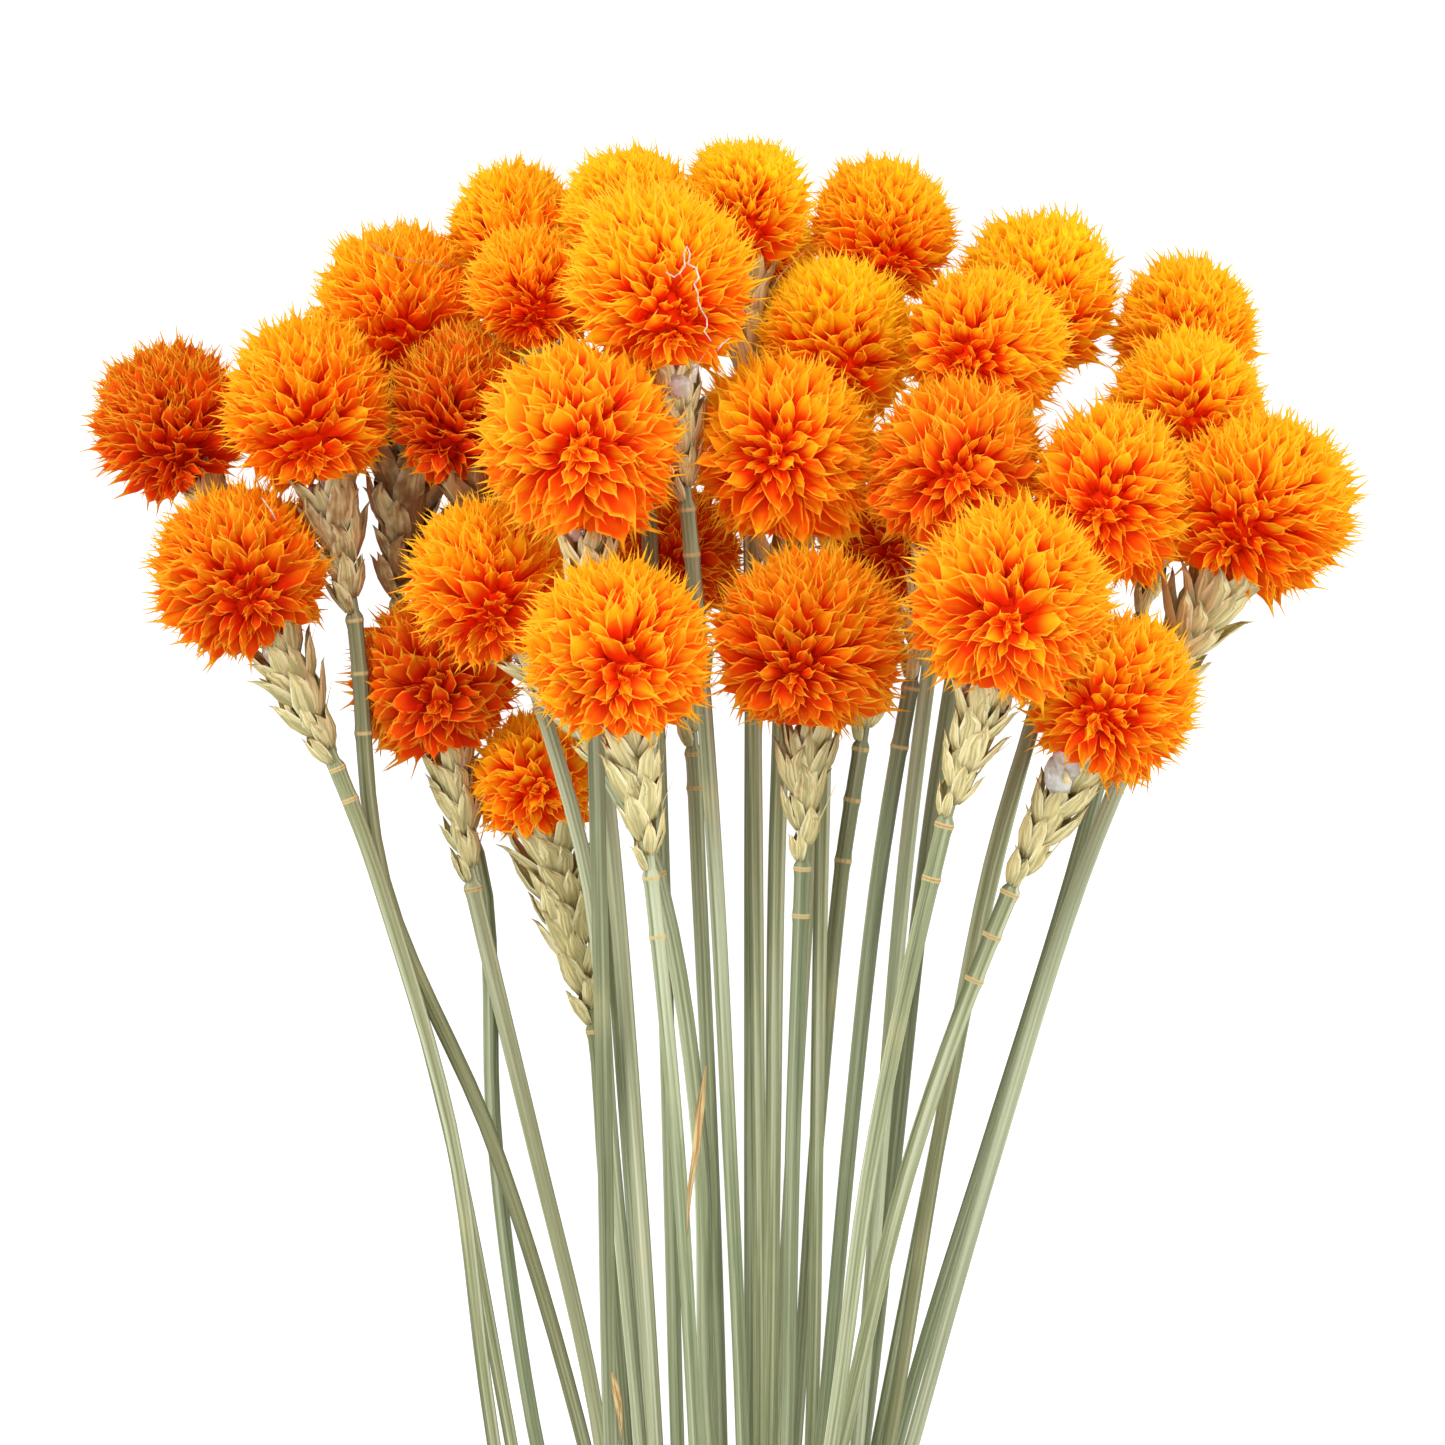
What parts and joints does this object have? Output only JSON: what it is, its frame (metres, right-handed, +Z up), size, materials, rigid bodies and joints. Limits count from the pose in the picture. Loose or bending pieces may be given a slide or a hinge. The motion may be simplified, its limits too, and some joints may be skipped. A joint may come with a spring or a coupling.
{
  "type": "dried globe amaranth bouquet",
  "caption": "Tied bunch of dried orange globe amaranth heads on straw stems, fanned out flat and lying on its back.",
  "frame": {"origin": "middle of the bounding box's underside, on the surface the bunch lies on", "axes": "+X across the bunch, +Y from the cut ends to the heads, +Z up from the surface"},
  "size_m": [0.167, 0.3986, 0.0625],
  "materials": {
    "bract_orange": "dry papery bracts, orange",
    "bract_gold": "dry papery bracts, yellow orange",
    "bract_red": "dry papery bracts, red orange",
    "straw": "dull grey-green dried straw with a pale chaffy ear",
    "twine": "rough natural fibre twine"
  },
  "bodies": {
    "root": {"bloom_01": "bract_red", "bloom_02": "bract_orange", "bloom_03": "bract_gold", "bloom_04": "bract_red", "bloom_05": "bract_red", "bloom_06": "bract_orange", "bloom_07": "bract_gold", "bloom_08": "bract_gold", "bloom_09": "bract_gold", "bloom_10": "bract_gold", "bloom_11": "bract_gold", "bloom_12": "bract_orange", "bloom_13": "bract_orange", "bloom_14": "bract_red", "bloom_15": "bract_orange", "bloom_16": "bract_orange", "bloom_17": "bract_red", "bloom_18": "bract_red", "bloom_19": "bract_gold", "bloom_20": "bract_gold", "bloom_21": "bract_gold", "bloom_22": "bract_gold", "bloom_23": "bract_orange", "bloom_24": "bract_orange", "bloom_25": "bract_orange", "bloom_26": "bract_red", "bloom_27": "bract_gold", "bloom_28": "bract_red", "bloom_29": "bract_orange", "bloom_30": "bract_red", "bloom_31": "bract_red", "stem_01": "straw", "stem_02": "straw", "stem_03": "straw", "stem_04": "straw", "stem_08": "straw", "stem_09": "straw", "stem_10": "straw", "stem_11": "straw", "stem_12": "straw", "stem_13": "straw", "stem_14": "straw", "stem_16": "straw", "stem_17": "straw", "stem_18": "straw", "stem_19": "straw", "stem_21": "straw", "stem_22": "straw", "stem_23": "straw", "stem_24": "straw", "stem_25": "straw", "stem_26": "straw", "stem_27": "straw", "stem_28": "straw", "stem_29": "straw", "stem_31": "straw", "stems_07_05": "straw", "stems_20_06": "straw", "stems_30_15": "straw", "tie": "twine"}
  },
  "joints": []
}
